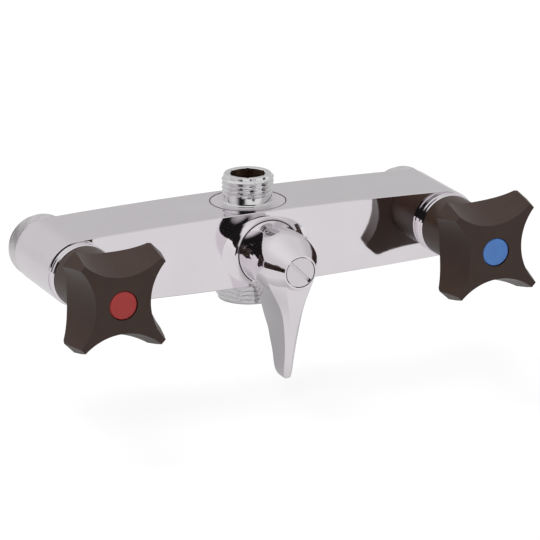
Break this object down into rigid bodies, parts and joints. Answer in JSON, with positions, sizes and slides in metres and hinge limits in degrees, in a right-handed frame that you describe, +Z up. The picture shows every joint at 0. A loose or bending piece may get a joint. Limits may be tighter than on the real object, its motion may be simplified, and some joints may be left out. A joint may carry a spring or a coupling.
{
  "type": "bath mixer tap",
  "caption": "Exposed wall-mounted bath mixer with cross-shaped handles, a lever diverter, a threaded shower outlet on top and a threaded bath outlet below.",
  "frame": {"origin": "midway between the two inlet axes, on the plane of the inlet ends", "axes": "+X from the hot side to the cold side, +Y into the wall, +Z up"},
  "size_m": [0.2012, 0.0885, 0.0753],
  "materials": {
    "chrome": "polished chrome plate",
    "brass": "machined brass",
    "steel": "stainless steel",
    "rubber": "black rubber",
    "handle_plastic": "satin dark brown plastic",
    "index_red": "red plastic",
    "index_blue": "blue plastic"
  },
  "bodies": {
    "mixer_body": {"body_casting": "chrome", "shower_nipple": "chrome", "shower_gasket": "rubber", "bath_nipple": "chrome", "bath_gasket": "rubber", "diverter_bush": "brass", "hot_inlet_nipple": "chrome", "hot_bonnet": "chrome", "hot_bonnet_seal": "rubber", "cold_inlet_nipple": "chrome", "cold_bonnet": "chrome", "cold_bonnet_seal": "rubber"},
    "diverter": {"diverter_plug": "brass", "diverter_ring_rear": "rubber", "diverter_ring_front": "rubber", "diverter_stem_ring": "rubber", "lever": "chrome", "lever_screw": "chrome"},
    "hot_tap": {"hot_handle": "handle_plastic", "hot_index_cap": "index_red", "hot_handle_screw": "steel", "hot_spindle": "brass", "hot_spindle_ring_rear": "rubber", "hot_spindle_ring_front": "rubber", "hot_circlip": "steel"},
    "hot_valve": {"hot_jumper": "brass", "hot_valve_washer": "rubber", "hot_washer_screw": "brass"},
    "cold_tap": {"cold_handle": "handle_plastic", "cold_index_cap": "index_blue", "cold_handle_screw": "steel", "cold_spindle": "brass", "cold_spindle_ring_rear": "rubber", "cold_spindle_ring_front": "rubber", "cold_circlip": "steel"},
    "cold_valve": {"cold_jumper": "brass", "cold_valve_washer": "rubber", "cold_washer_screw": "brass"}
  },
  "joints": [
    {"name": "hot_turn", "type": "hinge", "parent": "mixer_body", "child": "hot_tap", "pos_m": [-0.08, -0.07, 0], "axis": [0, -1, 0], "range_deg": [0, 720]},
    {"name": "hot_lift", "type": "slide", "parent": "mixer_body", "child": "hot_valve", "axis": [0, -1, 0], "range_m": [0, 0.004]},
    {"name": "cold_turn", "type": "hinge", "parent": "mixer_body", "child": "cold_tap", "pos_m": [0.08, -0.07, 0], "axis": [0, -1, 0], "range_deg": [0, 720]},
    {"name": "cold_lift", "type": "slide", "parent": "mixer_body", "child": "cold_valve", "axis": [0, -1, 0], "range_m": [0, 0.004]},
    {"name": "diverter_turn", "type": "hinge", "parent": "mixer_body", "child": "diverter", "pos_m": [0, -0.06, -0.001], "axis": [0, -1, 0], "range_deg": [0, 180]}
  ],
  "couplings": [
    {"joint": "hot_lift", "follows": "hot_turn", "m_per_rad": 0.0003183},
    {"joint": "cold_lift", "follows": "cold_turn", "m_per_rad": 0.0003183}
  ]
}
